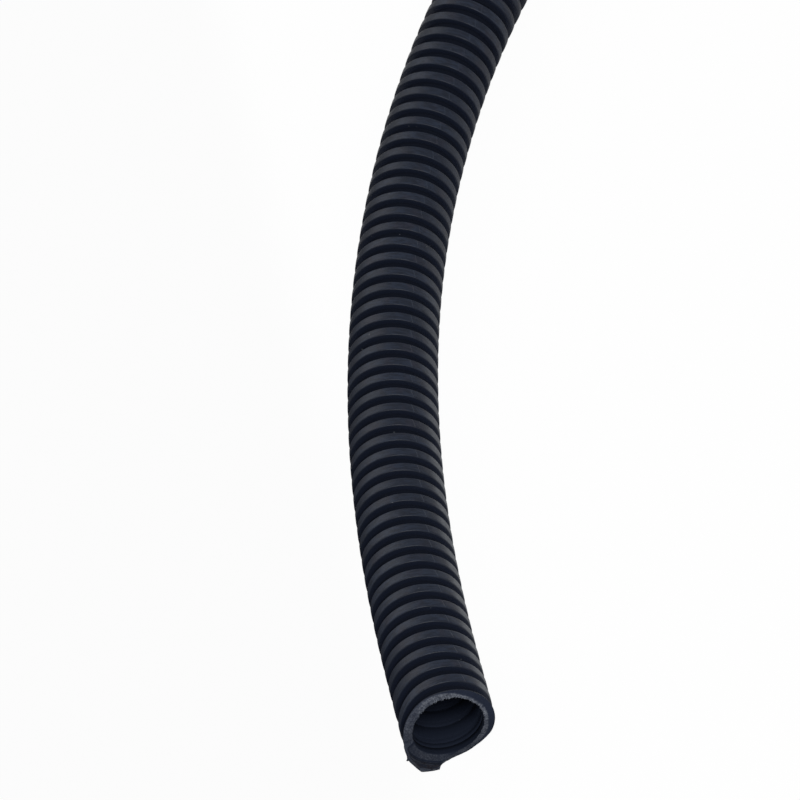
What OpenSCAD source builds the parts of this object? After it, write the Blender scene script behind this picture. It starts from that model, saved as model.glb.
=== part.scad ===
// Corrugated conduit: one moulded plastic tube with a wave every few
// millimetres, lying flat on the floor in the curve it keeps from its coil.
// Millimetres. The near mouth faces -Y, the far mouth faces -X. The floor is z = 0,
// and the origin is under the middle of the curve.

/* [Wave] */
// Outside diameter over the crests
crest_d = 15.8; // [14:0.1:22]
// Outside diameter in the grooves
groove_d = 13.2; // [11.6:0.1:19]
// Length of one wave, crest to crest
pitch = 3.65; // [3.3:0.05:5]
// Length of the flat floor of a groove
groove_len = 1.55; // [1.2:0.05:2.2]
// How far a flank leans along the tube
flank_lean = 0.15; // [0.05:0.01:0.3]
// Bevel on the two edges of a crest
crest_bevel = 0.2; // [0.05:0.05:0.35]
// Thickness of the wall
wall = 0.5; // [0.45:0.05:0.6]

/* [Length and curve] */
// Number of whole waves, 274 to the metre
waves = 274; // [220:1:290]
// Waves that stay straight at each end
end_waves = 4; // [3:1:8]
// Waves over which the straighter near end bends into the coil
easing_waves = 40; // [10:1:60]
// Radius of the curve where the easing starts
near_r = 440; // [220:1:900]
// Radius of the rest of the coil, which turns the far mouth to face -X
coil_r = 198.88; // [195:0.01:600]

/* [Near end] */
// Where the hand cut crosses the axis, ahead of the first whole wave
cut_at = 0.4; // [0.3:0.05:0.8]
// Lean of the hand cut
cut_lean = 3; // [0:0.1:5]
// Direction round the tube, from the top to the left, in which the cut leans in
cut_toward = 255; // [0:5:355]
// How far the torn flap reaches beyond the first whole wave
flap_len = 3.5; // [2.6:0.1:3.6]
// Where the flap sits round the tube, from the top to the left
flap_at = 114; // [0:1:359]
// Width of the flap, straight across
flap_w = 9.9; // [6:0.1:12]
// How far the torn lip is bent out
lip_out = 0.3; // [0.1:0.05:0.5]

/* [Hidden] */
$fn = 64;

crest_r = crest_d / 2;
groove_r = groove_d / 2;
bore_r = groove_r - wall;
hollow_r = crest_r - wall;
lap = wall / 2;          // each stretch is let this far into the flank before it
seat = 0.04;             // step that keeps the let-in end clear of the bore
foot = 0.2;              // upright foot of the flank that the next step is let into

// the tube runs in straight steps: a long one at each end, single waves where the
// curve eases in, and as many waves a step in the rest as the lap can turn
span = max(1, floor(0.98 * asin(lap / groove_r) / (pitch / coil_r * 180 / PI)));
coils = max(1, ceil((waves - 2 * end_waves - easing_waves) / span));
steps = easing_waves + coils + 2;
function step_waves(i) = i == 0 || i == steps - 1 ? end_waves : i <= easing_waves ? 1 : span;
// turn at the joint after step i, in degrees: length over radius
function bend(i) = let (k = min(1, i / easing_waves)) (1 - k) / near_r + k / coil_r;
function step_turn(i) = (i < easing_waves ? 1 : span) * pitch * bend(i) * 180 / PI;

// heading of step i and place of joint i, summed along the tube
heads = [for (i = 0, h = 90; i <= steps; h = h - step_turn(i), i = i + 1) h];
spots = [for (i = 0, p = [0, 0]; i <= steps;
  p = p + step_waves(i) * pitch * [cos(heads[i]), sin(heads[i])], i = i + 1) p];
// the middle of the curve, set over the origin
function middle_of(k) = (min([for (p = spots) p[k]]) + max([for (p = spots) p[k]])) / 2;

// outside of the wall over m waves, from the near end of a groove
function outside(m) = [for (j = [0 : m - 1]) let (a = j * pitch, b = a + pitch) each [
  [groove_r, a + groove_len],
  [crest_r - crest_bevel, a + groove_len + flank_lean],
  [crest_r, a + groove_len + flank_lean + crest_bevel],
  [crest_r, b - flank_lean - crest_bevel],
  [crest_r - crest_bevel, b - flank_lean],
  [groove_r + foot, b],
  if (j < m - 1) [groove_r, b]]];
// inside of the wall, in the other direction
function inside(m) = [for (j = [m - 1 : -1 : 0]) let (a = j * pitch, b = a + pitch) each [
  [bore_r, b - wall],
  [hollow_r, b - wall - flank_lean],
  [hollow_r, a + groove_len + wall + flank_lean],
  [bore_r, a + groove_len + wall]]];

// straight step of m waves along +X
module stretch(m, lead) {
  rotate([0, 90, 0]) rotate_extrude()
    polygon(concat([[groove_r, -lead]], outside(m), [[bore_r, m * pitch]], inside(m),
      [[bore_r, wall], [bore_r + seat, wall], [bore_r + seat, -lead]]));
}

// looking round the tube: 0 is up, 90 is to the left of the way it runs
module round_to(a) { rotate([-a, 0, 0]) children(); }

// half a wave with its front flank torn away: the crest runs on as a bent-out lip
module torn_wave() {
  tip = pitch + 0.2;
  rotate([0, 90, 0]) rotate_extrude()
    polygon([[groove_r, lap], [groove_r, 0], [groove_r + foot, 0],
      [crest_r - crest_bevel, -flank_lean], [crest_r, -flank_lean - crest_bevel],
      [crest_r + lip_out, -tip], [crest_r + lip_out - wall, -tip],
      [hollow_r, -wall - flank_lean], [bore_r, -wall], [bore_r, 0],
      [bore_r + seat, 0], [bore_r + seat, lap]]);
}

// ragged outline of the flap, along the tube by across it
flap_edge = [[0.3, -0.55], [-0.28, -0.55], [-0.36, -0.45], [-0.62, -0.36], [-0.7, -0.33],
  [-0.89, -0.3], [-0.86, -0.14], [-0.92, -0.05], [-1, 0.04], [-0.9, 0.14], [-0.78, 0.22],
  [-0.67, 0.31], [-0.6, 0.39], [-0.34, 0.42], [-0.14, 0.48], [0.07, 0.55], [0.3, 0.57]];

// the near end: a slanted hand cut that tore a flap out of the wave before it
module torn_mouth() {
  reach = pitch + crest_d;
  difference() {
    union() {
      stretch(end_waves, 0);
      torn_wave();
    }
    difference() {
      round_to(cut_toward) translate([-cut_at, 0, 0]) rotate([0, cut_lean, 0])
        translate([-reach, -crest_d, -crest_d]) cube([reach, 2 * crest_d, 2 * crest_d]);
      round_to(flap_at) linear_extrude(height = crest_d)
        polygon([for (p = flap_edge) [p[0] * flap_len, p[1] * flap_w]]);
    }
  }
}

// the start line of each step's surfaces sits apart from its neighbour's
module step(i) {
  if (i == 0) torn_mouth();
  else rotate([i % 2 == 0 ? 35 : 80, 0, 0]) stretch(step_waves(i), lap);
}

function middle(a, b) = b - a == 1 ? a : floor((a + b) / 2);

// children made in the frame of joint s, seen from the frame of joint t
module from_joint(t, s) {
  d = spots[s] - spots[t];
  c = cos(heads[t]);
  k = sin(heads[t]);
  translate([c * d[0] + k * d[1], c * d[1] - k * d[0], 0])
    rotate([0, 0, heads[s] - heads[t]]) children();
}

// steps a to b, joined in halves about their middle joint
module run(a, b) {
  if (b - a == 1) step(a);
  else {
    m = middle(a, b);
    from_joint(m, middle(a, m)) run(a, m);
    from_joint(m, middle(m, b)) run(m, b);
  }
}

module conduit() {
  m = middle(0, steps);
  color([0.13, 0.15, 0.19])
    translate([spots[m][0] - middle_of(0), spots[m][1] - middle_of(1), crest_r])
      rotate([0, 0, heads[m]]) run(0, steps);
}

conduit();
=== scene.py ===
"""Dresses a metre of corrugated conduit: the moulded tube, its torn hand-cut mouth and a plain stage."""

import math

import bmesh
import bpy
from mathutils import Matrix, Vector, noise


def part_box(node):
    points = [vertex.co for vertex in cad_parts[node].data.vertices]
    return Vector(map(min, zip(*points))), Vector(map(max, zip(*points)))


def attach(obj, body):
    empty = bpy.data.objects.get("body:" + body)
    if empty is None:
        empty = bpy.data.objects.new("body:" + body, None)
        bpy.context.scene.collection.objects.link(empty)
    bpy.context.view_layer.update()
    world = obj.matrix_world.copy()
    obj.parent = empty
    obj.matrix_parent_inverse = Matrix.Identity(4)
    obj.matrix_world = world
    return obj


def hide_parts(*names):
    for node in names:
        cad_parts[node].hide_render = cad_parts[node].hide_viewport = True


bl_info = {
    "name": "Corrugated Conduit",
    "version": (1, 0, 0),
    "blender": (4, 5, 0),
    "location": "3D View > Sidebar > Conduit",
    "description": "Builds a length of corrugated conduit with a torn mouth, and its finish",
    "category": "Add Mesh",
}

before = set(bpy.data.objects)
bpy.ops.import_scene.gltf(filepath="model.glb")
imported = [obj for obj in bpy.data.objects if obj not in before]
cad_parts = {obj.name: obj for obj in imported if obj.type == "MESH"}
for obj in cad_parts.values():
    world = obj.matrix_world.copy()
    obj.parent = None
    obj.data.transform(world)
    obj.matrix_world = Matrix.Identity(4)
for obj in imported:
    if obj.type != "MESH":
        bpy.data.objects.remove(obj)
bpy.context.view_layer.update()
tube_low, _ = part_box("conduit")

MM = 0.001


# ------------------------------------------------------------------ sizes and colours


def distance(name, description, default):
    """A length, with its default in mm."""
    return bpy.props.FloatProperty(
        name=name, description=description, default=default * MM, unit="LENGTH", precision=5
    )


def count(name, description, default, least):
    """A whole number that is never below the least."""
    return bpy.props.IntProperty(name=name, description=description, default=default, min=least)


def tint(name, description, *default):
    """A colour, with its default as red, green and blue."""
    return bpy.props.FloatVectorProperty(
        name=name, description=description, subtype="COLOR", size=4, default=(*default, 1)
    )


class ConduitSizes(bpy.types.PropertyGroup):
    crest: distance("Crest Diameter", "Outside diameter over the crests", 15.8)
    groove: distance("Groove Diameter", "Outside diameter in the grooves", 13.2)
    pitch: distance("Pitch", "Length of one wave", 3.65)
    groove_floor: distance("Groove Floor", "Length of the flat floor of a groove", 1.55)
    lean: distance("Flank Lean", "How far a flank leans along the tube", 0.15)
    wall: distance("Wall", "Thickness of the wall", 0.5)
    waves: count("Waves", "Number of whole waves", 274, 60)
    end_waves: count("Straight Waves", "Waves that stay straight at each end", 4, 1)
    easing: count("Easing Waves", "Waves over which the near end bends into the coil", 40, 1)
    near_radius: distance("Near Radius", "Radius of the curve where the easing starts", 440)
    coil_radius: distance("Coil Radius", "Radius of the rest of the curve", 198.88)
    fine_waves: count("Fine Waves", "Waves behind the mouth that get the rounder section", 46, 1)
    fine_sides: count("Fine Sides", "Sides of the tube near the mouth", 64, 12)
    plain_sides: count("Plain Sides", "Sides of the rest of the tube", 48, 12)


class ConduitMouth(bpy.types.PropertyGroup):
    sides: count("Sides", "Sides of the torn end", 320, 48)
    lip_out: distance("Lip Out", "How far the torn lip is bent out", 0.3)
    ragged: distance("Ragged Edge", "How far the cut edge wanders", 0.1)
    burr: distance("Burr", "Height of the swarf left on the cut", 0.12)
    teeth: distance("Teeth", "How far the swarf hangs into the bore", 0.42)
    push: distance("Ring Push", "How far the rings by the mouth are pushed back", 0.1)
    turn: distance("Ring Turn", "How far the last ring's right is turned back and its left forward", 0.5)
    pull: distance("Ring Pull", "How much further the tearing drew the upper left forward", 1.9)
    bent_from: distance("Bent From", "Length behind the mouth that is bent in full", 3)
    bent_to: distance("Bent To", "Length behind the mouth by which the bend has gone", 8)


class ConduitFinish(bpy.types.PropertyGroup):
    plastic: tint("Plastic", "Colour of the moulded plastic", 0.0065, 0.0095, 0.0185)
    rubbed: tint("Rubbed Crests", "Colour where the crests are rubbed", 0.0150, 0.0222, 0.0410)
    # the grooves' colour, lighter than the plastic: painted light that lifts their shade
    painted_groove_light: tint("Grooves", "Colour down in the grooves", 0.0100, 0.0138, 0.0270)
    torn: tint("Torn Plastic", "Colour of the pale torn edge", 0.185, 0.20, 0.235)
    stain: tint("Stained Crests", "Warmer colour of the stained patches", 0.0205, 0.0195, 0.0310)
    # a pale painted reflection on the right of the crests and on the left edge of the mouth
    painted_sheen: tint("Painted Sheen", "Colour of the scuffed side", 0.085, 0.094, 0.108)
    inner: tint("Bore", "Colour of the inside of the wall", 0.0105, 0.0145, 0.0265)
    # lighter than the bore: painted light on the shaded roof and hollows of the bore
    painted_bore_light: tint("Hidden Bore", "Colour of the roof and the hollows of the bore", 0.034, 0.044, 0.078)
    layers: tint("Torn Layers", "Warm colour between the layers of the torn flap", 0.0155, 0.0140, 0.0190)
    dust: tint("Dust", "Colour of the pale specks", 0.085, 0.092, 0.105)


class ConduitStage(bpy.types.PropertyGroup):
    paper: tint("Floor", "Colour of the floor", 0.8, 0.8, 0.8)
    # a dark sheet where there is only shade: painted shade on the tube's left side
    shade: tint("Dark Floor", "Colour of the dark floor that the tube mirrors", 0.06, 0.06, 0.065)
    key: bpy.props.FloatProperty(
        name="Key Lamp", description="Power of the big soft lamp", default=3.3, unit="POWER"
    )
    fill: bpy.props.FloatProperty(
        name="Fill Lamp", description="Power of the lamp above the front and right", default=9.0, unit="POWER"
    )
    sky: bpy.props.FloatProperty(name="Sky", description="Strength of the even light", default=0.4)
    lens: bpy.props.FloatProperty(
        name="Lens", description="Focal length of the camera in millimetres", default=252.25
    )


# ------------------------------------------------------------------ the tube's path


def centre_line(size):
    """The axis as evenly spaced points, four to a wave, through the joints that the solids have."""
    coil_span, per_wave = 2, 4
    coils = max(1, math.ceil((size.waves - 2 * size.end_waves - size.easing) / coil_span))
    steps = size.easing + coils + 2
    heading, place = math.pi / 2, Vector((0, 0))
    headings, joints, lengths = [], [place], []
    for i in range(steps):
        whole = size.end_waves if i in (0, steps - 1) else 1 if i <= size.easing else coil_span
        headings.append(heading)
        lengths.append(whole * size.pitch)
        place = place + lengths[-1] * Vector((math.cos(heading), math.sin(heading)))
        joints.append(place)
        share = min(1, i / size.easing)
        bend = (1 - share) / size.near_radius + share / size.coil_radius
        heading -= (1 if i < size.easing else coil_span) * size.pitch * bend
    middle = Vector([(min(p[k] for p in joints) + max(p[k] for p in joints)) / 2 for k in (0, 1)])
    turns = [headings[0]] + [(a + b) / 2 for a, b in zip(headings, headings[1:])] + [headings[-1]]
    points = []
    for i, length in enumerate(lengths):
        a, b = joints[i] - middle, joints[i + 1] - middle
        ta, tb = (length * Vector((math.cos(t), math.sin(t))) for t in (turns[i], turns[i + 1]))
        pieces = round(length / size.pitch) * per_wave
        for j in range(pieces + (i == steps - 1)):
            t = j / pieces
            p = (2 * t**3 - 3 * t**2 + 1) * a + (t**3 - 2 * t**2 + t) * ta
            p += (-2 * t**3 + 3 * t**2) * b + (t**3 - t**2) * tb
            points.append(Vector((p.x, p.y, size.crest / 2)))
    return points


def add_object(name, data):
    item = bpy.data.objects.new(name, data)
    bpy.context.scene.collection.objects.link(item)
    return item


def path_object(size):
    points = centre_line(size)
    curve = bpy.data.curves.new("axis", "CURVE")
    curve.dimensions = "3D"
    spline = curve.splines.new("POLY")
    spline.points.add(len(points) - 1)
    for point, place in zip(spline.points, points):
        point.co = (*place, 1)
    return add_object("axis", curve)


# ------------------------------------------------------------------ the section of one wave

# a fine flank as (along from the middle of the flank, height), in mm: its foot over the groove,
# its brow under the crest, and the two bends of the inside, over the bore and under the shell
FOOT = [(-0.28, 0), (-0.12, 0.015), (-0.07, 0.07), (-0.03, 0.35)]
BROW = [(0.03, -0.35), (0.06, -0.14), (0.11, -0.05), (0.2, -0.009), (0.38, 0)]
INNER_BROW = [(-0.42, 0), (-0.05, -0.1)]
INNER_FOOT = [(0.05, 0.1), (0.14, 0)]
# the same for a plain flank
PLAIN_FOOT = [(-0.15, 0.01), (-0.03, 0.35)]
PLAIN_BROW = [(0.05, -0.25), (0.18, -0.03)]
PLAIN_INNER_BROW = [(-0.1, 0)]
PLAIN_INNER_FOOT = [(0.1, 0)]


def radii(size):
    """Radius of the groove, the crest, the bore and the hollow under the crest, in mm."""
    groove, crest, wall = size.groove / 2 / MM, size.crest / 2 / MM, size.wall / MM
    return groove, crest, groove - wall, crest - wall


def wave_section(size, fine):
    """(along, radius) in mm of the outside from groove to groove, and of the inside back again."""
    groove, crest, bore, shell = radii(size)
    pitch, wall, lean = size.pitch / MM, size.wall / MM, size.lean / MM
    rise, fall, start = size.groove_floor / MM + lean / 2, pitch - lean / 2, 1.0
    foot, brow = (FOOT, BROW) if fine else (PLAIN_FOOT, PLAIN_BROW)
    inner_brow, inner_foot = (INNER_BROW, INNER_FOOT) if fine else (PLAIN_INNER_BROW, PLAIN_INNER_FOOT)
    flank = [(x, groove + y) for x, y in foot] + [(x, crest + y) for x, y in brow]
    inner = [(x, shell + y) for x, y in inner_brow] + [(x, bore + y) for x, y in inner_foot]
    up = [(rise + x, r) for x, r in flank]
    down = [(fall - x, r) for x, r in reversed(flank)]
    outside = [(start, groove), *up, ((rise + fall) / 2, crest), *down, (start + pitch, groove)]
    back = [(fall - wall + x, r) for x, r in reversed(inner)]
    forth = [(rise + wall - x, r) for x, r in inner]
    inside = [(start + pitch, bore), *back, *forth, (start, bore)]
    return outside, inside


def section_object(name, outside, inside):
    mesh = bpy.data.meshes.new(name)
    mesh.from_pydata([(x * MM, r * MM, 0) for x, r in outside + inside], [], [])
    return add_object(name, mesh)


# ------------------------------------------------------------------ a wave repeated along a path


class Tree:
    """A few words for building a node tree."""

    def __init__(self, group):
        self.group = group

    def add(self, kind, *values, **settings):
        node = self.group.nodes.new(kind)
        for key, value in settings.items():
            setattr(node, key, value)
        for socket, value in zip([s for s in node.inputs if s.enabled], values):
            self.feed(socket, value)
        return node

    def feed(self, socket, value):
        if value is None:
            return
        if isinstance(value, bpy.types.Node):
            value = next(s for s in value.outputs if s.enabled)
        if isinstance(value, bpy.types.NodeSocket):
            self.group.links.new(value, socket)
        else:
            socket.default_value = value

    def math(self, operation, *values):
        return self.add("ShaderNodeMath", *values, operation=operation)

    def tidy(self):
        """Lays the nodes out from left to right by how far each is from the inputs."""
        depth = {}

        def reach(node):
            if node.name not in depth:
                depth[node.name] = 0
                befores = [link.from_node for s in node.inputs for link in s.links]
                depth[node.name] = 1 + max((reach(b) for b in befores), default=-1)
            return depth[node.name]

        rows = {}
        for node in self.group.nodes:
            column = reach(node)
            rows[column] = rows.get(column, 0) + 1
            node.location = (column * 200, -rows[column] * 170)


def smooth_step(t, value, low, high, to_low=0.0, to_high=1.0):
    return t.add("ShaderNodeMapRange", value, low, high, to_low, to_high, interpolation_type="SMOOTHSTEP")


def corrugation_group():
    """Geometry nodes: wraps a grid round the path, one row for each point of the repeated section."""
    group = bpy.data.node_groups.new("Corrugation", "GeometryNodeTree")
    group.is_modifier = True
    face = group.interface
    face.new_socket("Path", in_out="INPUT", socket_type="NodeSocketGeometry")
    face.new_socket("Section", in_out="INPUT", socket_type="NodeSocketObject")
    for name in ("Outside Points", "Inside Points", "First Wave", "Waves", "Sides"):
        face.new_socket(name, in_out="INPUT", socket_type="NodeSocketInt")
    bends = ("Ring Push", "Ring Turn", "Ring Pull", "Bent From", "Bent To")
    for name in ("Pitch", "Length", "Crest Radius", *bends):
        face.new_socket(name, in_out="INPUT", socket_type="NodeSocketFloat").subtype = "DISTANCE"
    face.new_socket("Material", in_out="INPUT", socket_type="NodeSocketMaterial")
    face.new_socket("Skin", in_out="OUTPUT", socket_type="NodeSocketGeometry")
    t = Tree(group)
    source = t.add("NodeGroupInput")
    given = {s.name: s for s in source.outputs}
    section = t.add("GeometryNodeObjectInfo", given["Section"], transform_space="ORIGINAL")

    wave_points = t.math("ADD", given["Outside Points"], given["Inside Points"])
    all_points = t.math("MULTIPLY", wave_points, given["Waves"])
    columns = t.math("ADD", given["Sides"], 1.0)
    rows = t.math("ADD", all_points, 1.0)
    grid = t.add("GeometryNodeMeshGrid", 1.0, 1.0, columns, rows)
    place = t.add("ShaderNodeSeparateXYZ", t.add("GeometryNodeInputPosition"))
    column = t.math("ROUND", t.math("MULTIPLY", t.math("ADD", place.outputs["X"], 0.5), given["Sides"]))
    row = t.math("ROUND", t.math("MULTIPLY", t.math("ADD", place.outputs["Y"], 0.5), all_points))
    row = t.math("FLOORED_MODULO", row, all_points)

    # the rows run out along the outside and come back along the inside
    outside_rows = t.math("MULTIPLY", given["Outside Points"], given["Waves"])
    is_inside = t.math("GREATER_THAN", t.math("ADD", row, 0.5), outside_rows)
    out_wave = t.math("FLOOR", t.math("DIVIDE", row, given["Outside Points"]))
    out_point = t.math("SUBTRACT", row, t.math("MULTIPLY", out_wave, given["Outside Points"]))
    back_row = t.math("SUBTRACT", row, outside_rows)
    back_wave = t.math("FLOOR", t.math("DIVIDE", back_row, given["Inside Points"]))
    back_point = t.math("SUBTRACT", back_row, t.math("MULTIPLY", back_wave, given["Inside Points"]))
    in_wave = t.math("SUBTRACT", t.math("SUBTRACT", given["Waves"], 1.0), back_wave)
    in_point = t.math("ADD", back_point, given["Outside Points"])
    wave = t.add("GeometryNodeSwitch", is_inside, out_wave, in_wave, input_type="FLOAT")
    point = t.add("GeometryNodeSwitch", is_inside, out_point, in_point, input_type="FLOAT")

    spots = section.outputs["Geometry"]
    sample = t.add("GeometryNodeSampleIndex", spots, None, point, data_type="FLOAT_VECTOR")
    t.feed(sample.inputs["Value"], t.add("GeometryNodeInputPosition"))
    section_at = t.add("ShaderNodeSeparateXYZ", sample)
    whole = t.math("MULTIPLY", t.math("ADD", wave, given["First Wave"]), given["Pitch"])
    along = t.math("MINIMUM", t.math("ADD", whole, section_at.outputs["X"]), given["Length"])
    radius = section_at.outputs["Y"]

    line = t.add("GeometryNodeSampleCurve", given["Path"], mode="FACTOR", use_all_curves=True)
    t.feed(line.inputs["Factor"], t.math("DIVIDE", along, given["Length"]))
    angle = t.math("MULTIPLY_ADD", t.math("DIVIDE", column, given["Sides"]), 2 * math.pi, math.pi)
    up = t.math("MULTIPLY", t.math("COSINE", angle), radius)
    left = t.math("MULTIPLY", t.math("SINE", angle), radius)
    sideways = t.add("ShaderNodeVectorMath", (0, 0, 1), line.outputs["Tangent"], operation="CROSS_PRODUCT")
    sideways = t.add("ShaderNodeVectorMath", sideways, operation="NORMALIZE")
    offset = t.add("ShaderNodeVectorMath", sideways, operation="SCALE")
    t.feed(offset.inputs["Scale"], left)
    raised = t.add("ShaderNodeCombineXYZ", 0.0, 0.0, up)
    place = t.add("ShaderNodeVectorMath", line.outputs["Position"], offset, operation="ADD")
    place = t.add("ShaderNodeVectorMath", place, raised, operation="ADD")

    # the rings by the mouth are pushed back, turned and, at the upper left, drawn forward
    fade = smooth_step(t, along, given["Bent To"], given["Bent From"])
    long_fade = smooth_step(t, along, t.math("MULTIPLY", given["Bent To"], 2.0), given["Bent From"])
    side = t.math("DIVIDE", left, given["Crest Radius"])
    height = t.math("MULTIPLY_ADD", t.math("DIVIDE", up, given["Crest Radius"]), 0.5, 0.5)
    left_side = t.math("MAXIMUM", side, 0.0)
    drawn = t.math("MULTIPLY", t.math("MULTIPLY", left_side, left_side), height)
    forward = t.math("MULTIPLY_ADD", side, given["Ring Turn"], t.math("MULTIPLY", drawn, given["Ring Pull"]))
    pushed = t.math("MULTIPLY", long_fade, given["Ring Push"])
    shift = t.math("SUBTRACT", pushed, t.math("MULTIPLY", fade, forward))
    moved_on = t.add("ShaderNodeVectorMath", line.outputs["Tangent"], operation="SCALE")
    t.feed(moved_on.inputs["Scale"], shift)
    place = t.add("ShaderNodeVectorMath", place, moved_on, operation="ADD")

    straight = t.add("ShaderNodeCombineXYZ", along, left, up)
    told = grid
    for name, value, kind in (("straight", straight, "FLOAT_VECTOR"), ("bore", is_inside, "FLOAT")):
        told = t.add("GeometryNodeStoreNamedAttribute", told, True, name, value, data_type=kind)
    moved = t.add("GeometryNodeSetPosition", told, True, place)
    closed = t.add("GeometryNodeMergeByDistance", moved, True, 0.000001)
    smooth = t.add("GeometryNodeSetShadeSmooth", closed, True, True)
    real = t.add("GeometryNodeRealizeInstances", smooth)
    dressed = t.add("GeometryNodeSetMaterial", real, True, given["Material"])
    t.add("NodeGroupOutput", dressed)
    t.tidy()
    return group


def set_input(modifier, name, value):
    """Sets a modifier's input by its socket's identifier."""
    items = modifier.node_group.interface.items_tree
    socket = next(i for i in items if i.item_type == "SOCKET" and i.in_out == "INPUT" and i.name == name)
    modifier[socket.identifier] = value


def plain_mesh(item, name):
    """Turns the evaluated object into a mesh object of that name, facing outwards."""
    held = item.evaluated_get(bpy.context.evaluated_depsgraph_get())
    mesh = bpy.data.meshes.new_from_object(held)
    mesh.name = name
    bpy.data.objects.remove(item)
    piece = add_object(name, mesh)
    shape = bmesh.new()
    shape.from_mesh(mesh)
    close_out(shape, mesh)
    return piece


def close_out(shape, mesh):
    """Turns the faces of a closed shape outwards and writes it to the mesh."""
    bmesh.ops.recalc_face_normals(shape, faces=shape.faces)
    if shape.calc_volume(signed=True) < 0:
        bmesh.ops.reverse_faces(shape, faces=shape.faces)
    shape.to_mesh(mesh)
    shape.free()


# ------------------------------------------------------------------ the torn mouth


# round the tube in degrees, where 0 is up and 90 the left: the edge of the flap, and the edge of the
# cut outside and inside, by its place along the tube in mm, below 0 ahead of the first whole wave
FLAP_EDGE = [
    (92, -2.0), (98, -2.1), (104, -2.2), (110, -2.55), (117, -2.93), (121, -2.8),
    (124, -2.68), (130, -2.47), (137, -2.22), (143, -2.0), (145, -1.3), (148, -0.85),
]
OUTER_CUT = [
    (0, -0.30), (22, -0.28), (40, -0.2), (60, -0.14), (79, -0.14), (84, -0.9), (88, -1.25), (90, -1.85),
    *FLAP_EDGE,
    (153, -0.4), (159, -0.2), (195, -0.14), (220, -0.3), (236, -0.38), (300, -0.4), (330, -0.35),
    (360, -0.30),
]
INNER_CUT = [
    (0, -0.30), (19, -0.42), (44, -0.36), (79, -0.3), (84, -0.9), (88, -1.25), (90, -1.8),
    *FLAP_EDGE,
    (153, -0.6), (180, -0.46), (220, -0.44), (300, -0.42), (316, -0.33), (326, -0.18), (335, -0.36),
    (344, -0.25), (360, -0.30),
]
# how ragged the cut is, how pale its swarf, and how much of the wall, from outside, was cut clean
RAGGED = [
    (0, 0.8), (40, 0.5), (80, 0.35), (150, 0.4), (200, 0.3), (270, 0.7), (310, 1.0), (345, 1.0), (360, 0.8),
]
PALE = [
    (0, 0.6), (40, 0.36), (75, 0.24), (84, 0.16), (145, 0.18),
    (200, 0.3), (250, 0.75), (300, 1.0), (335, 0.95), (360, 0.6),
]
CLEAN = [
    (0, 0.12), (60, 0.05), (80, 0.0), (150, 0.1), (200, 0.35), (240, 0.65),
    (290, 0.75), (318, 0.66), (335, 0.36), (350, 0.18), (360, 0.12),
]
# where the flap is, where the knife pared the top of the flank away, and where a whisker of it hangs
FLAP_FROM, FLAP_TO = 82, 149
PARED_FROM, PARED_TO, PARED = 156, 228, 0.28
WHISKER_AT, WHISKER = 91.5, 0.4
# rows across the torn edge, from outside to inside
STRIP = (0.08, 0.2, 0.33, 0.46, 0.58, 0.7, 0.82, 0.93)


def read_off(table, angle):
    """The value at that angle, on straight lines between the table's points."""
    for (a, x), (b, y) in zip(table, table[1:]):
        if a <= angle <= b:
            return x + (y - x) * (angle - a) / (b - a)
    return table[-1][1]


def chain_lengths(chain):
    """Running length along a chain of (along, radius) points."""
    run = [0.0]
    for (ax, ar), (bx, br) in zip(chain, chain[1:]):
        run.append(run[-1] + math.hypot(bx - ax, br - ar))
    return run


def chain_point(chain, run, length):
    """The point at that running length."""
    for i in range(len(chain) - 1):
        if length <= run[i + 1] or i == len(chain) - 2:
            t = (length - run[i]) / (run[i + 1] - run[i])
            return tuple(a + (b - a) * t for a, b in zip(chain[i], chain[i + 1]))


def length_at(chain, run, along):
    """Running length where the chain, which runs towards the mouth, first comes to that place."""
    for i in range(len(chain) - 1):
        if chain[i + 1][0] <= along:
            t = (along - chain[i][0]) / (chain[i + 1][0] - chain[i][0])
            return run[i] + (run[i + 1] - run[i]) * t
    return run[-1]


def ease(value):
    """A smooth step from 0 to 1."""
    value = max(0.0, min(1.0, value))
    return value * value * (3 - 2 * value)


def ring_shift(size, mouth, along, left, up):
    """How far the cutting and tearing moved a point of the rings along the tube."""
    fade = ease((mouth.bent_to - along) / (mouth.bent_to - mouth.bent_from))
    long_fade = ease((2 * mouth.bent_to - along) / (2 * mouth.bent_to - mouth.bent_from))
    side, height = left / (size.crest / 2), up / (size.crest / 2)
    drawn = max(0, side) ** 2 * (0.5 + 0.5 * height)
    return long_fade * mouth.push - fade * (side * mouth.turn + drawn * mouth.pull)


def mouth_chains(size, mouth):
    """The outside and the inside of the half wave, as (along, radius) in mm, towards the mouth."""
    groove, crest, bore, shell = radii(size)
    wall, lean = size.wall / MM, size.lean / MM
    lip_from, tip = -0.35, -size.pitch / MM - 0.2
    slope = mouth.lip_out / MM / (lip_from - tip)
    lip = [(lip_from - 0.15 * i, slope * 0.15 * i) for i in range(1, 24)]
    foot = [(0.045, 0.015), (-0.005, 0.07), (-0.045, 0.35)]
    brow = [(-0.105, -0.35), (-0.135, -0.14), (-0.185, -0.05), (lip_from, 0)]
    outer = [(1.0, groove), (0.2, groove), *((x, groove + y) for x, y in foot)]
    outer += [(-0.075, (groove + crest) / 2), *((x, crest + y) for x, y in brow)]
    outer += [(x, crest + y) for x, y in lip]
    inner = [(1.0, bore), (0.2, bore), (-0.2, bore), (-wall + 0.06, bore), (-wall - 0.02, bore + 0.08)]
    inner += [(-wall - lean / 2, (bore + shell) / 2), (-wall - lean, shell - 0.1)]
    inner += [(-wall - lean - 0.08, shell - 0.01)]
    inner += [(x, shell + y) for x, y in lip if x < -wall - lean - 0.1]
    return [(chain, chain_lengths(chain)) for chain in (outer, inner)]


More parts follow.
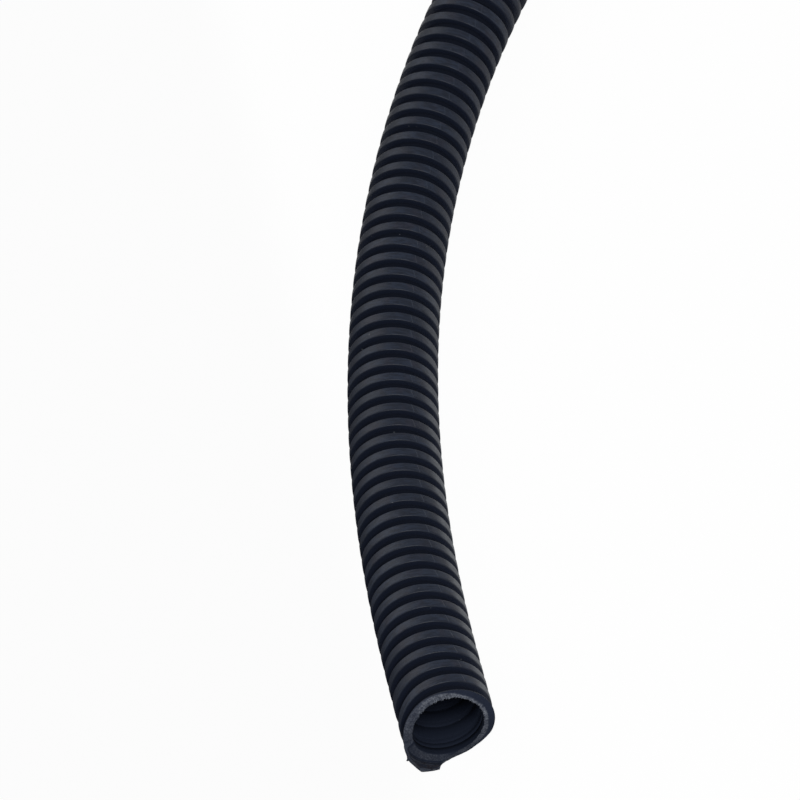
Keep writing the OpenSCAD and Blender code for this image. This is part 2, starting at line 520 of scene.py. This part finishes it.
def torn_ring(size, mouth, chains, degrees):
    """One ring of the mouth, as ((along, radius) in mm, paleness), and how many of them are outside."""
    _, _, bore, shell = radii(size)
    angle = math.radians(degrees)
    around = Vector((math.cos(angle), math.sin(angle), 0))

    def wander(seed, scale, octaves=4):
        spot = around * scale + Vector((seed, 3 * seed, 0))
        return noise.fractal(spot, 0.9, 2.1, octaves, noise_basis="PERLIN_ORIGINAL")

    ragged, pale, clean = (read_off(table, degrees) for table in (RAGGED, PALE, CLEAN))
    pared = min(1, (degrees - PARED_FROM) / 12, (PARED_TO - degrees) / 25) * PARED
    ends = []
    for (chain, run), table, seed, off in zip(chains, (OUTER_CUT, INNER_CUT), (3, 7), (max(0, pared), 0)):
        length = length_at(chain, run, read_off(table, degrees)) - off
        length += mouth.ragged / MM * ragged * (wander(seed, 6) + 0.7 * wander(seed + 1, 28, 2))
        ends.append(max(0.85, min(length, run[-1] - 0.01)))
    (outer, outer_run), (inner, inner_run) = chains
    outside = [chain_point(outer, outer_run, min(s, ends[0])) for s in outer_run[:-1]]
    out_x, out_r = chain_point(outer, outer_run, ends[0])
    in_x, in_r = chain_point(inner, inner_run, ends[1])
    out_r += max(0, 1 - abs(degrees - WHISKER_AT) / 1.8) * WHISKER
    tooth = max(0, wander(21, 34, 3) + 0.5 * wander(22, 9, 2) + 0.1) * ragged * mouth.teeth / MM
    in_x -= 0.3 * tooth
    if not FLAP_FROM < degrees < FLAP_TO:
        in_r -= tooth

    edge = []
    for k, part in enumerate(STRIP):
        rough = part * (1 - part) * (1 + 3 * ragged) * (0.3 + 0.7 * ease((part - clean + 0.1) / 0.2))
        push = mouth.burr / MM * rough * (0.5 + wander(11 + k, 30, 3) + 0.6 * wander(31 + k, 75, 2))
        lift = mouth.burr / MM * 0.8 * rough * wander(51 + k, 45, 2)
        spot = (out_x + (in_x - out_x) * part - push, out_r + (in_r - out_r) * part + lift)
        edge.append((spot, pale * ease((part - clean + 0.12) / 0.2)))

    # the inner flank behind the flap is scraped pale, and so is a crease in the flap
    scraped = ease((degrees - FLAP_FROM) / 10) * ease((170 - degrees) / 25)
    inside = []
    for s in reversed(inner_run[:-1]):
        along, radius = chain_point(inner, inner_run, min(s, ends[1]))
        marked = bore + 0.05 < radius < shell - 0.02 or abs(along + 1.55) < 0.08
        inside.append(((along, radius), scraped * (0.17 if marked else 0.07 if along < -0.8 else 0.0)))
    whole = [(spot, 0.0) for spot in outside] + [((out_x, out_r), edge[0][1] * 0.8)]
    return whole + edge + [((in_x, in_r), pale)] + inside, len(whole)


def torn_mouth_mesh(size, mouth):
    """The half wave that the knife left, with its torn lip, as one closed skin."""
    chains = mouth_chains(size, mouth)
    near = centre_line(size)[0]
    shape = bmesh.new()
    straight = shape.verts.layers.float_vector.new("straight")
    cut = shape.verts.layers.float.new("cut")
    bore_side = shape.verts.layers.float.new("bore")
    rings = []
    for n in range(mouth.sides):
        degrees = 360 * n / mouth.sides
        angle = math.radians(degrees)
        spots, outside = torn_ring(size, mouth, chains, degrees)
        ring = []
        for step, ((along, radius), paleness) in enumerate(spots):
            along, left, up = along * MM, radius * MM * math.sin(angle), radius * MM * math.cos(angle)
            shift = ring_shift(size, mouth, along, left, up)
            vert = shape.verts.new(near + Vector((-left, along + shift, up)))
            vert[straight] = (along, left, up)
            vert[cut] = paleness
            vert[bore_side] = float(step >= outside)
            ring.append(vert)
        rings.append(ring)
    for n in range(mouth.sides):
        a, b = rings[n], rings[(n + 1) % mouth.sides]
        for i in range(len(a)):
            j = (i + 1) % len(a)
            shape.faces.new((a[i], a[j], b[j], b[i]))
    bmesh.ops.remove_doubles(shape, verts=shape.verts, dist=0.0000005)
    for face in shape.faces:
        face.smooth = True
    mesh = bpy.data.meshes.new("torn_mouth")
    close_out(shape, mesh)
    return mesh


# ------------------------------------------------------------------ finish


# degrees round the tube: the parting line of the mould, and how much it leans for each mm of a wave
PARTING_LINE, PARTING_LEAN, WAVE_MIDDLE = -47.5, 1.9, 2.6
# how far from the crest, in mm, the crest ends, the groove's colour comes, which is painted light, and the
# groove is deep, where it is dulled and darkened as painted shade
CREST_ENDS, GROOVE_COMES, DEEP_COMES = (0.16, 0.02), (0.05, 0.35), (0.7, 1.25)


def shader_group(name, inputs, outputs, vectors=()):
    """A group of named numbers; the outputs that vectors names are vectors."""
    group = bpy.data.node_groups.new(name, "ShaderNodeTree")
    for label, value in inputs.items():
        socket = group.interface.new_socket(label, in_out="INPUT", socket_type="NodeSocketFloat")
        socket.default_value = value
    for label in outputs:
        kind = "NodeSocketVector" if label in vectors else "NodeSocketFloat"
        group.interface.new_socket(label, in_out="OUTPUT", socket_type=kind)
    return Tree(group)


def cloud(t, place, scale, detail, rough, stretch=None):
    """Noise on the straightened tube, in patches that are narrower where stretch is more than 1."""
    if stretch:
        place = t.add("ShaderNodeMapping", place, None, None, stretch)
    node = t.add("ShaderNodeTexNoise", place)
    for key, value in (("Scale", scale), ("Detail", detail), ("Roughness", rough)):
        node.inputs[key].default_value = value
    return node.outputs["Fac"]


def between(t, turn, *degrees):
    """1 from the second to the third angle round the tube, fading out to the first and the fourth."""
    a, b, c, d = (math.radians(angle) for angle in degrees)
    return t.math("MULTIPLY", smooth_step(t, turn, a, b), smooth_step(t, turn, d, c))


def mix_colours(t, factor, a, b):
    node = t.add("ShaderNodeMix", data_type="RGBA")
    t.feed(node.inputs["Factor"], factor)
    t.feed(node.inputs[6], a)
    t.feed(node.inputs[7], b)
    return node.outputs[2]


def tube_place_group():
    """Where a point is on the straightened tube: in mm, with its radius and its turn from the top."""
    t = shader_group("Tube Place", {}, ("Place", "Along", "Radius", "Turn"), ("Place",))
    told = t.add("ShaderNodeAttribute", attribute_name="straight", attribute_type="GEOMETRY")
    place = t.add("ShaderNodeVectorMath", operation="SCALE")
    t.feed(place.inputs[0], told.outputs["Vector"])
    place.inputs["Scale"].default_value = 1 / MM
    parts = t.add("ShaderNodeSeparateXYZ", place)
    left, up = parts.outputs["Y"], parts.outputs["Z"]
    radius = t.math("SQRT", t.math("ADD", t.math("MULTIPLY", left, left), t.math("MULTIPLY", up, up)))
    turn = t.math("ARCTAN2", left, up)
    t.add("NodeGroupOutput", place, parts.outputs["X"], radius, turn)
    t.tidy()
    return t.group


def wear_group(place_group):
    """Where one tube is rubbed, stained, specked, in a groove, deep in a groove or inside; where its crests
    get painted shade and a painted highlight, its sides a painted reflection and its bore painted light; and
    its fine relief.
    """
    outputs = ("Rub", "Stain", "Sheen", "Groove", "Deep", "Specks", "Relief", "Inside", "Hidden")
    t = shader_group("Moulded Wear", {"Crest Radius": 7.9, "Pitch": 3.65}, outputs)
    given = t.add("NodeGroupInput")
    where = t.add("ShaderNodeGroup", node_tree=place_group)
    place, along, radius, turn = (where.outputs[k] for k in ("Place", "Along", "Radius", "Turn"))
    depth = t.math("SUBTRACT", given.outputs["Crest Radius"], radius)
    crest = t.math("MULTIPLY", smooth_step(t, depth, *CREST_ENDS), smooth_step(t, along, -0.1, 0.9))
    groove = smooth_step(t, depth, *GROOVE_COMES)
    deep = smooth_step(t, depth, *DEEP_COMES)

    # the roof and the hollows of the bore, behind the mouth, are painted lighter: painted light that lifts
    # their shade
    inside = t.add("ShaderNodeAttribute", attribute_name="bore", attribute_type="GEOMETRY").outputs["Fac"]
    roof = smooth_step(t, t.math("COSINE", t.math("ADD", turn, math.radians(40))), -0.3, 0.7)
    hollows = smooth_step(t, depth, 1.5, 0.6, 0.0, 0.3)
    painted_bore_light = t.math("MULTIPLY", t.math("MAXIMUM", roof, hollows), smooth_step(t, along, -0.9, 0.6))

    grain = cloud(t, place, 2.6, 4.0, 0.65)
    streak = cloud(t, place, 0.9, 3.0, 0.6, (3.0, 0.7, 0.7))
    patch = smooth_step(t, cloud(t, place, 0.11, 2.0, 0.55), 0.35, 0.7, 0.55, 1.05)
    rub = t.math("MULTIPLY", t.math("MULTIPLY", crest, patch), smooth_step(t, streak, 0.38, 0.62, 0.25, 1.2))
    stain = t.math("MULTIPLY", smooth_step(t, cloud(t, place, 0.3, 3.0, 0.55), 0.5, 0.66), 0.6)

    # a few specks of dust
    spots = t.add("ShaderNodeTexVoronoi", place, feature="F1")
    spots.inputs["Scale"].default_value = 0.9
    spots.inputs["Randomness"].default_value = 1.0
    chosen = t.add("ShaderNodeSeparateColor", spots.outputs["Color"])
    dot = smooth_step(t, spots.outputs["Distance"], 0.16, 0.07)
    lucky = t.math("GREATER_THAN", chosen.outputs["Red"], 0.93)
    specks = t.math("MULTIPLY", t.math("MULTIPLY", dot, lucky), chosen.outputs["Green"])

    # the parting line of the mould: a hair-fine ridge on a faint step, leaning a little on every wave
    from_middle = t.math("SUBTRACT", t.math("FLOORED_MODULO", along, given.outputs["Pitch"]), WAVE_MIDDLE)
    lean = t.math("MULTIPLY", from_middle, math.radians(PARTING_LEAN))
    line = t.math("SUBTRACT", t.math("SUBTRACT", turn, math.radians(PARTING_LINE)), lean)
    across = t.math("MULTIPLY", t.math("SINE", line), radius)
    step = smooth_step(t, across, -0.06, 0.06)
    ridge = t.math("MULTIPLY", smooth_step(t, t.math("ABSOLUTE", across), 0.11, 0.03), crest)
    relief = t.math("MULTIPLY_ADD", ridge, 0.03, t.math("MULTIPLY", step, 0.02))
    relief = t.math("MULTIPLY_ADD", grain, 0.03, relief)

    # the crest right of the line is a little darker, and the left side further along is darkened as painted
    # shade
    rub = t.math("MULTIPLY", rub, t.math("MULTIPLY_ADD", step, 0.15, 0.85))
    left_side = smooth_step(t, turn, math.radians(8), math.radians(32))
    left_shade = t.math("MULTIPLY", left_side, smooth_step(t, along, 30.0, 150.0, 0.0, 0.65))
    rub = t.math("MULTIPLY", rub, t.math("SUBTRACT", 1.0, left_shade))
    # the parting ridge is painted lighter along its length: a painted highlight
    rub = t.math("MULTIPLY_ADD", ridge, 1.4, rub)

    # the right side of the crests by the mouth gets a pale streaky painted reflection, and so, more faintly,
    # does the left edge of the mouth
    sheen_mask = t.math("MULTIPLY", between(t, turn, -135, -110, -80, -62), smooth_step(t, along, 120.0, 40.0))
    sheen_mask = t.math("MULTIPLY", t.math("MULTIPLY", sheen_mask, crest), smooth_step(t, streak, 0.3, 0.65, 0.45, 1.0))
    edge = t.math("MULTIPLY", between(t, turn, 52, 80, 105, 125), smooth_step(t, along, 2.4, 0.4, 0.0, 0.3))
    edge = t.math("MULTIPLY", edge, smooth_step(t, streak, 0.3, 0.65, 0.5, 1.0))
    sheen_mask = t.math("MAXIMUM", sheen_mask, edge)
    t.add("NodeGroupOutput", rub, stain, sheen_mask, groove, deep, specks, relief, inside, painted_bore_light)
    t.tidy()
    return t.group


def burr_group(place_group):
    """Paleness and relief of the torn edge, and the layers of the torn flap."""
    t = shader_group("Torn Edge", {}, ("Pale", "Relief", "Layers"))
    where = t.add("ShaderNodeGroup", node_tree=place_group)
    place = where.outputs["Place"]
    edge = t.add("ShaderNodeAttribute", attribute_name="cut", attribute_type="GEOMETRY").outputs["Fac"]
    mottle = cloud(t, place, 3.4, 4.0, 0.7)
    pale = t.math("MULTIPLY", edge, smooth_step(t, mottle, 0.4, 0.62, 0.3, 1.15))
    blotch = cloud(t, place, 0.8, 2.0, 0.5)
    pale = t.math("MULTIPLY", pale, smooth_step(t, blotch, 0.36, 0.62, 0.6, 1.15))

    # the layers of the flap run round the tube
    layer = cloud(t, place, 1.0, 3.0, 0.6, (2.6, 0.35, 0.35))
    flap = smooth_step(t, where.outputs["Along"], -1.0, -1.5)
    layers = t.math("MULTIPLY", smooth_step(t, layer, 0.49, 0.54, 0.0, 0.85), flap)
    strands = t.math("MULTIPLY", smooth_step(t, layer, 0.47, 0.42), flap)
    pale = t.math("MAXIMUM", pale, t.math("MULTIPLY", strands, 0.2))
    relief = t.math("MULTIPLY", t.math("MULTIPLY", mottle, edge), 0.16)
    relief = t.math("MULTIPLY_ADD", t.math("MULTIPLY", layer, flap), 0.25, relief)
    t.add("NodeGroupOutput", pale, relief, layers)
    t.tidy()
    return t.group


def conduit_plastic(size, finish):
    """Dark blue-black plastic, rubbed on the crests, dull in the grooves and pale where it is torn, with
    painted light and shade in the grooves, painted shade on the left of the crests, a painted highlight on
    the parting ridge, a painted reflection on the sides by the mouth and painted light in the bore.
    """
    material = bpy.data.materials.new("conduit_plastic")
    material.use_nodes = True
    material.node_tree.nodes.clear()
    t = Tree(material.node_tree)
    place = tube_place_group()
    wear_node = t.add("ShaderNodeGroup", node_tree=wear_group(place))
    wear_node.inputs["Crest Radius"].default_value = size.crest / 2 / MM
    wear_node.inputs["Pitch"].default_value = size.pitch / MM
    wear = wear_node.outputs
    burr = t.add("ShaderNodeGroup", node_tree=burr_group(place)).outputs

    # colour by depth: the grooves are lighter than the plastic, painted light that lifts their shade, and
    # their deepest part is darkened toward black as painted shade
    colour = mix_colours(t, wear["Groove"], tuple(finish.plastic), tuple(finish.painted_groove_light))
    colour = mix_colours(t, t.math("MULTIPLY", wear["Deep"], 0.48), colour, (0, 0, 0, 1))
    crests = mix_colours(t, wear["Stain"], tuple(finish.rubbed), tuple(finish.stain))
    colour = mix_colours(t, wear["Rub"], colour, crests)
    # painted reflection on the sides by the mouth
    colour = mix_colours(t, wear["Sheen"], colour, tuple(finish.painted_sheen))
    # painted light in the bore's roof and hollows
    bore = mix_colours(t, wear["Hidden"], tuple(finish.inner), tuple(finish.painted_bore_light))
    colour = mix_colours(t, wear["Inside"], colour, bore)
    colour = mix_colours(t, burr["Layers"], colour, tuple(finish.layers))
    colour = mix_colours(t, wear["Specks"], colour, tuple(finish.dust))
    colour = mix_colours(t, burr["Pale"], colour, tuple(finish.torn))

    dull = t.math("MAXIMUM", wear["Inside"], wear["Deep"])
    rough = t.add("ShaderNodeMapRange", dull, 0.0, 1.0, 0.42, 0.8)
    rough = t.math("MAXIMUM", rough, t.math("MULTIPLY", burr["Pale"], 0.9))
    gloss = t.add("ShaderNodeMapRange", dull, 0.0, 1.0, 0.26, 0.08)
    bump = t.add("ShaderNodeBump")
    bump.inputs["Strength"].default_value = 1.0
    bump.inputs["Distance"].default_value = 1 * MM
    t.feed(bump.inputs["Height"], t.math("ADD", wear["Relief"], burr["Relief"]))
    plastic = t.add("ShaderNodeBsdfPrincipled")
    t.feed(plastic.inputs["Base Color"], colour)
    t.feed(plastic.inputs["Roughness"], rough)
    t.feed(plastic.inputs["Normal"], bump.outputs["Normal"])
    t.feed(plastic.inputs["Specular IOR Level"], gloss)
    plastic.inputs["IOR"].default_value = 1.5
    out = t.add("ShaderNodeOutputMaterial")
    t.feed(out.inputs["Surface"], plastic.outputs["BSDF"])
    t.tidy()
    return material


def plastic_for(scene):
    """The plastic, made once."""
    made = bpy.data.materials.get("conduit_plastic")
    return made or conduit_plastic(scene.conduit_sizes, scene.conduit_finish)


def finish_piece(piece, material):
    piece.data.materials.clear()
    piece.data.materials.append(material)
    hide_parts("conduit")
    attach(piece, "root")


# ------------------------------------------------------------------ operators


class CONDUIT_OT_tube(bpy.types.Operator):
    """Builds the corrugated tube along its curve, in stretches"""

    bl_idname = "conduit.tube"
    bl_label = "Corrugated Tube"

    def execute(self, context):
        size, mouth = context.scene.conduit_sizes, context.scene.conduit_mouth
        material = plastic_for(context.scene)
        group = corrugation_group()
        rest = size.waves - size.fine_waves
        half = rest // 2
        stretches = (
            ("near_stretch", 0, size.fine_waves, True, size.fine_sides),
            ("middle_stretch", size.fine_waves, half, False, size.plain_sides),
            ("far_stretch", size.fine_waves + half, rest - half, False, size.plain_sides),
        )
        for name, first, waves, fine, sides in stretches:
            outside, inside = wave_section(size, fine)
            section = section_object(name + "_section", outside, inside)
            tube = path_object(size)
            modifier = tube.modifiers.new("corrugation", "NODES")
            modifier.node_group = group
            for label, value in (
                ("Section", section),
                ("Outside Points", len(outside)),
                ("Inside Points", len(inside)),
                ("First Wave", first),
                ("Waves", waves),
                ("Sides", sides),
                ("Pitch", size.pitch),
                ("Length", size.waves * size.pitch),
                ("Crest Radius", size.crest / 2),
                ("Ring Push", mouth.push),
                ("Ring Turn", mouth.turn),
                ("Ring Pull", mouth.pull),
                ("Bent From", mouth.bent_from),
                ("Bent To", mouth.bent_to),
                ("Material", material),
            ):
                set_input(modifier, label, value)
            piece = plain_mesh(tube, name)
            bpy.data.objects.remove(section)
            finish_piece(piece, material)
        return {"FINISHED"}


class CONDUIT_OT_mouth(bpy.types.Operator):
    """Builds the hand-cut mouth with its torn lip and burr"""

    bl_idname = "conduit.mouth"
    bl_label = "Torn Mouth"

    def execute(self, context):
        size, mouth = context.scene.conduit_sizes, context.scene.conduit_mouth
        piece = add_object("torn_mouth", torn_mouth_mesh(size, mouth))
        finish_piece(piece, plastic_for(context.scene))
        return {"FINISHED"}


# in metres: half the floor's side, where the lamps stand from the mouth, and where the camera stands
FLOOR_REACH = 3.0
KEY_FROM_MOUTH = Vector((-0.35, 0.75, 0.85))
FILL_FROM_MOUTH = Vector((0.38, -0.76, 0.92))
CAMERA_PLACE = (-0.0441862, -0.6842716, 0.6528050)
# in radians
CAMERA_TURN = (0.7554159, 0.4200207, -0.1995436)


def soft_lamp(name, power, across, place, aim):
    lamp = bpy.data.lights.new(name, "AREA")
    lamp.energy = power
    lamp.shape = "DISK"
    lamp.size = across
    item = add_object(name, lamp)
    item.location = place
    item.rotation_euler = (aim - place).to_track_quat("-Z", "Y").to_euler()


class CONDUIT_OT_stage(bpy.types.Operator):
    """Builds the floor, the soft light and the camera"""

    bl_idname = "conduit.stage"
    bl_label = "Stage"

    def execute(self, context):
        stage = context.scene.conduit_stage
        mesh = bpy.data.meshes.new("floor")
        corners = [(x * FLOOR_REACH, y * FLOOR_REACH, 0) for x, y in ((-1, -1), (1, -1), (1, 1), (-1, 1))]
        mesh.from_pydata(corners, [], [(0, 1, 2, 3)])
        floor = add_object("floor", mesh)
        mesh.materials.append(paper_floor(stage))
        white_world(stage)
        near = Vector((tube_low[0] + 0.01, -0.05, 0.01))
        aim = near + Vector((0.02, 0.08, 0))
        soft_lamp("key_lamp", stage.key, 1.1, near + KEY_FROM_MOUTH, aim)
        soft_lamp("fill_lamp", stage.fill, 0.6, near + FILL_FROM_MOUTH, aim)
        camera = bpy.data.cameras.new("camera")
        camera.lens = stage.lens
        camera.sensor_width = 36
        camera.clip_start = 0.05
        camera.clip_end = 50
        item = add_object("camera", camera)
        item.location = CAMERA_PLACE
        item.rotation_euler = CAMERA_TURN
        context.scene.camera = item
        context.scene.view_settings.view_transform = "Standard"
        return {"FINISHED"}


def paper_floor(stage):
    """Pale paper, with a dark strip at the left as painted shade for the tube's left side, that keeps a faint
    shadow and shows white to the camera.
    """
    material = bpy.data.materials.new("paper_floor")
    material.use_nodes = True
    material.node_tree.nodes.clear()
    t = Tree(material.node_tree)
    matte = t.add("ShaderNodeBsdfPrincipled")
    matte.inputs["Roughness"].default_value = 0.9
    where = t.add("ShaderNodeSeparateXYZ", t.add("ShaderNodeTexCoord").outputs["Object"])
    # the floor left of the tube is dark, though the camera sees it near white: a dark sheet as painted shade
    # that leaves the tube's left side less lit
    left = smooth_step(t, where.outputs["X"], tube_low[0] + 0.006, tube_low[0] - 0.008)
    t.feed(matte.inputs["Base Color"], mix_colours(t, left, tuple(stage.paper), tuple(stage.shade)))
    glow = t.add("ShaderNodeEmission")
    glow.inputs["Color"].default_value = (1, 1, 1, 1)
    glow.inputs["Strength"].default_value = 1.0
    rays = t.add("ShaderNodeLightPath")
    seen = t.math("MULTIPLY", rays.outputs["Is Camera Ray"], 0.97)
    mixed = t.add("ShaderNodeMixShader")
    t.feed(mixed.inputs[0], seen)
    t.feed(mixed.inputs[1], matte.outputs["BSDF"])
    t.feed(mixed.inputs[2], glow.outputs["Emission"])
    out = t.add("ShaderNodeOutputMaterial")
    t.feed(out.inputs["Surface"], mixed.outputs["Shader"])
    t.tidy()
    return material


def white_world(stage):
    """Even light of the strength that the stage says, which shows white to the camera."""
    world = bpy.data.worlds.new("white_world")
    bpy.context.scene.world = world
    world.use_nodes = True
    world.node_tree.nodes.clear()
    t = Tree(world.node_tree)
    rays = t.add("ShaderNodeLightPath")
    strength = t.add("ShaderNodeMapRange", rays.outputs["Is Camera Ray"], 0.0, 1.0, stage.sky, 1.0)
    sky = t.add("ShaderNodeBackground")
    sky.inputs["Color"].default_value = (1, 1, 1, 1)
    t.feed(sky.inputs["Strength"], strength)
    out = t.add("ShaderNodeOutputWorld")
    t.feed(out.inputs["Surface"], sky.outputs["Background"])
    t.tidy()


class CONDUIT_PT_panel(bpy.types.Panel):
    """Sizes, colours and the steps that build the conduit"""

    bl_idname = "CONDUIT_PT_panel"
    bl_label = "Corrugated Conduit"
    bl_space_type = "VIEW_3D"
    bl_region_type = "UI"
    bl_category = "Conduit"

    def draw(self, context):
        for held, group in GROUPS:
            box = self.layout.box()
            box.label(text=held.removeprefix("conduit_").title())
            for name in group.__annotations__:
                box.prop(getattr(context.scene, held), name)
        for operator in STEPS:
            self.layout.operator(operator.bl_idname)


STEPS = (CONDUIT_OT_tube, CONDUIT_OT_mouth, CONDUIT_OT_stage)
GROUPS = (
    ("conduit_sizes", ConduitSizes),
    ("conduit_mouth", ConduitMouth),
    ("conduit_finish", ConduitFinish),
    ("conduit_stage", ConduitStage),
)


def register():
    for name, group in GROUPS:
        bpy.utils.register_class(group)
        setattr(bpy.types.Scene, name, bpy.props.PointerProperty(type=group))
    for cls in (*STEPS, CONDUIT_PT_panel):
        bpy.utils.register_class(cls)


def unregister():
    for cls in reversed((*STEPS, CONDUIT_PT_panel)):
        bpy.utils.unregister_class(cls)
    for name, group in reversed(GROUPS):
        delattr(bpy.types.Scene, name)
        bpy.utils.unregister_class(group)


def main():
    register()
    bpy.ops.conduit.tube()
    bpy.ops.conduit.mouth()
    bpy.ops.conduit.stage()


if __name__ == "__main__":
    main()
